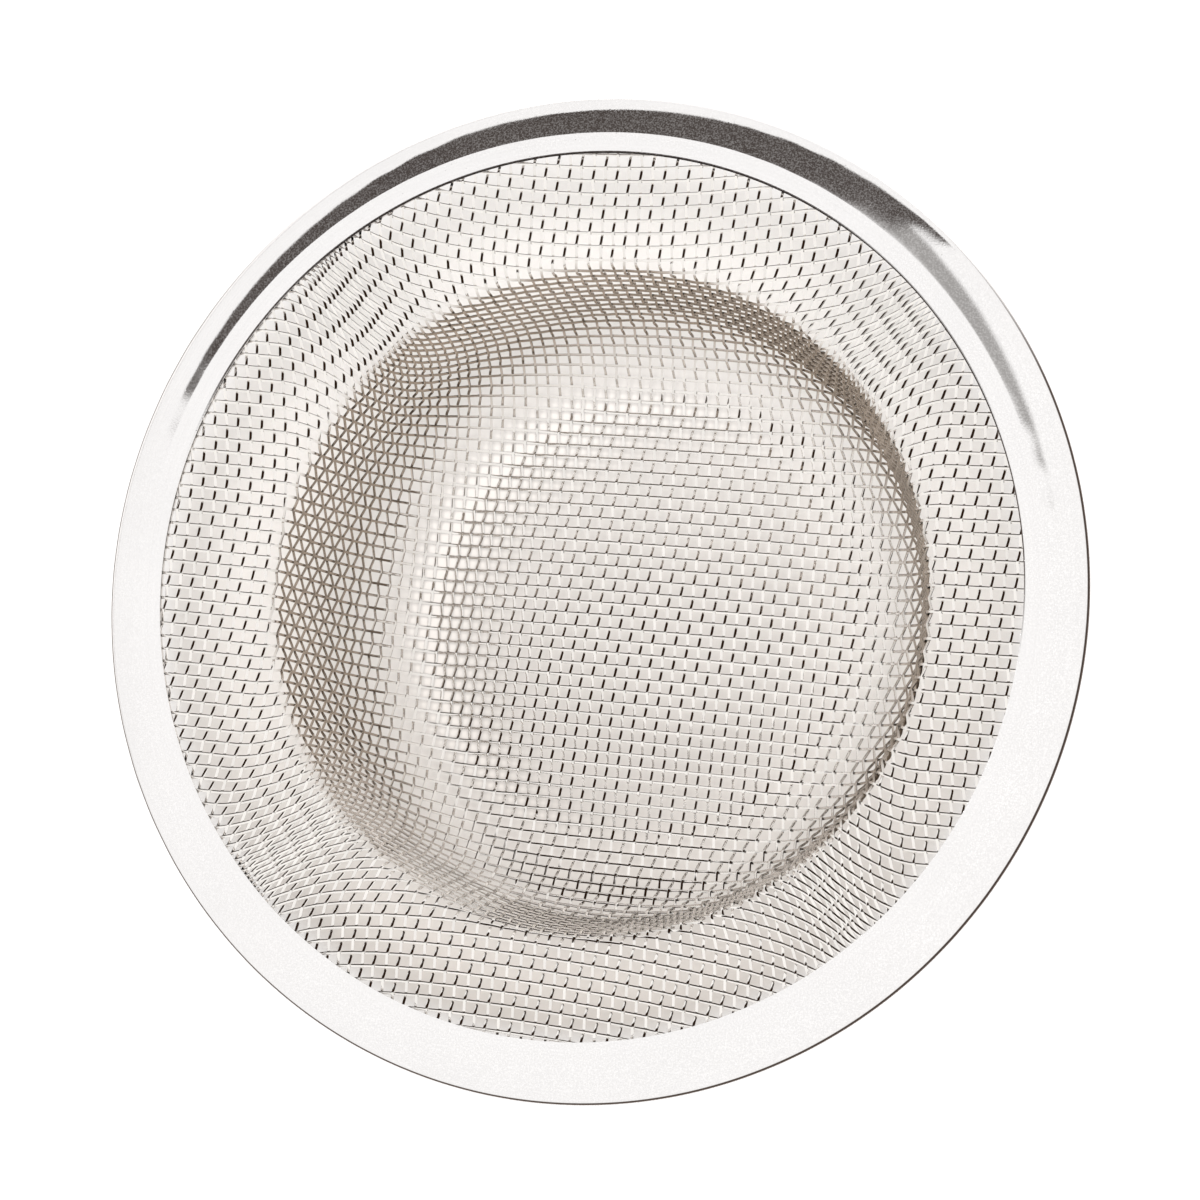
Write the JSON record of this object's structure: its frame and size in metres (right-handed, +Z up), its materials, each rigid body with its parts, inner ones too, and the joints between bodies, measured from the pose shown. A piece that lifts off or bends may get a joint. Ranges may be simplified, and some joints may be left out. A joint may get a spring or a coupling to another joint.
{
  "type": "mesh sink strainer",
  "caption": "Round sink strainer: a deep drawn basket of plain-woven wire cloth, held by its edge in a folded sheet-metal ring.",
  "frame": {"origin": "below the centre of the basket, on the surface that the strainer stands on", "axes": "+Z up through the middle of the ring, warp wires run along Y and weft wires along X"},
  "size_m": [0.1142, 0.1142, 0.0275],
  "materials": {
    "ring_sheet": "polished",
    "warp_wire": "bright drawn wire",
    "weft_wire": "bright drawn wire"
  },
  "bodies": {
    "root": {"rim_ring": "ring_sheet", "warp_wire_01": "warp_wire", "warp_wire_02": "warp_wire", "warp_wire_03": "warp_wire", "warp_wire_04": "warp_wire", "warp_wire_05": "warp_wire", "warp_wire_06": "warp_wire", "warp_wire_07": "warp_wire", "warp_wire_08": "warp_wire", "warp_wire_09": "warp_wire", "warp_wire_10": "warp_wire", "warp_wire_11": "warp_wire", "warp_wire_12": "warp_wire", "warp_wire_13": "warp_wire", "warp_wire_14": "warp_wire", "warp_wire_15": "warp_wire", "warp_wire_16": "warp_wire", "warp_wire_17": "warp_wire", "warp_wire_18": "warp_wire", "warp_wire_19": "warp_wire", "warp_wire_20": "warp_wire", "warp_wire_21": "warp_wire", "warp_wire_22": "warp_wire", "warp_wire_23": "warp_wire", "warp_wire_24": "warp_wire", "warp_wire_25": "warp_wire", "warp_wire_26": "warp_wire", "warp_wire_27": "warp_wire", "weft_wire_01": "weft_wire", "weft_wire_02": "weft_wire", "weft_wire_03": "weft_wire", "weft_wire_04": "weft_wire", "weft_wire_05": "weft_wire", "weft_wire_06": "weft_wire", "weft_wire_07": "weft_wire", "weft_wire_08": "weft_wire", "weft_wire_09": "weft_wire", "weft_wire_10": "weft_wire", "weft_wire_11": "weft_wire", "weft_wire_12": "weft_wire", "weft_wire_13": "weft_wire", "weft_wire_14": "weft_wire", "weft_wire_15": "weft_wire", "weft_wire_16": "weft_wire", "weft_wire_17": "weft_wire", "weft_wire_18": "weft_wire", "weft_wire_19": "weft_wire", "weft_wire_20": "weft_wire", "weft_wire_21": "weft_wire", "weft_wire_22": "weft_wire", "weft_wire_23": "weft_wire", "weft_wire_24": "weft_wire", "weft_wire_25": "weft_wire", "weft_wire_26": "weft_wire", "weft_wire_27": "weft_wire"}
  },
  "joints": []
}
